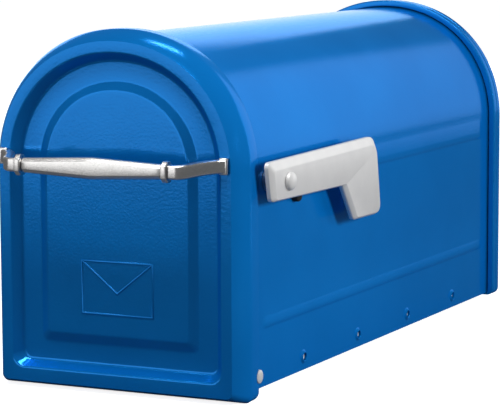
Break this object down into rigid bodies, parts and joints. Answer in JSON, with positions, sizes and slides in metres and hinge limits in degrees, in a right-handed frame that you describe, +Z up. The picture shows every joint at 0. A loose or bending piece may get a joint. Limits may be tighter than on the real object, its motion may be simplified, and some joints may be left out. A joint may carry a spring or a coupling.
{
  "type": "mailbox",
  "caption": "Arched steel kerbside mailbox with a recessed drop-down door, cast pull handle and swinging signal flag, for a board on a post.",
  "frame": {"origin": "middle of the floor pan's flat underside, where the mounting board bears", "axes": "+Z up; the door faces -Y and the body runs back along +Y; +X is the flag side, on the right as seen facing the door"},
  "size_m": [0.2332, 0.5735, 0.2757],
  "materials": {
    "blue_powder_coat": "satin powder coat with a fine orange-peel texture",
    "satin_nickel": "satin nickel plated casting",
    "satin_aluminium": "satin silver die casting",
    "zinc_plated_steel": "bright zinc plated",
    "black_rubber": "matt moulded rubber",
    "black_nylon": "moulded nylon",
    "ferrite": "dull sintered ferrite"
  },
  "bodies": {
    "housing": {"body_shell": "blue_powder_coat", "catch_bracket": "zinc_plated_steel", "catch_magnet": "ferrite", "catch_screw": "zinc_plated_steel", "flag_bolt": "zinc_plated_steel", "flag_boss": "zinc_plated_steel", "flag_nut": "zinc_plated_steel", "flag_stop": "black_rubber", "flag_washer": "zinc_plated_steel", "floor_pan": "zinc_plated_steel", "floor_rivet_left_1": "zinc_plated_steel", "floor_rivet_left_2": "zinc_plated_steel", "floor_rivet_left_3": "zinc_plated_steel", "floor_rivet_right_1": "zinc_plated_steel", "floor_rivet_right_2": "zinc_plated_steel", "floor_rivet_right_3": "zinc_plated_steel", "front_hoop": "blue_powder_coat", "hinge_rivet_left": "zinc_plated_steel", "hinge_rivet_right": "zinc_plated_steel", "hinge_spacer_left": "black_nylon", "hinge_spacer_right": "black_nylon", "rear_panel": "blue_powder_coat", "rear_rivet_1": "blue_powder_coat", "rear_rivet_2": "blue_powder_coat", "rear_rivet_3": "blue_powder_coat"},
    "door": {"door_bumper_left": "black_rubber", "door_bumper_right": "black_rubber", "door_pan": "blue_powder_coat", "handle_arm_left": "satin_nickel", "handle_arm_right": "satin_nickel", "handle_bar": "satin_nickel", "handle_collar_left": "satin_nickel", "handle_collar_right": "satin_nickel", "handle_screw_left": "zinc_plated_steel", "handle_screw_right": "zinc_plated_steel", "handle_stud_left": "zinc_plated_steel", "handle_stud_right": "zinc_plated_steel", "hinge_ear_left": "zinc_plated_steel", "hinge_ear_right": "zinc_plated_steel", "strike_plate": "zinc_plated_steel"},
    "flag": {"flag_arm": "satin_aluminium", "flag_hub": "black_nylon", "flag_lug": "black_nylon"}
  },
  "joints": [
    {"name": "door_hinge", "type": "hinge", "parent": "housing", "child": "door", "pos_m": [0, -0.238, -0.0107], "axis": [1, 0, 0], "range_deg": [0, 90]},
    {"name": "flag_pivot", "type": "hinge", "parent": "housing", "child": "flag", "pos_m": [0.117, -0.218, 0.134], "axis": [1, 0, 0], "range_deg": [0, 90]}
  ]
}
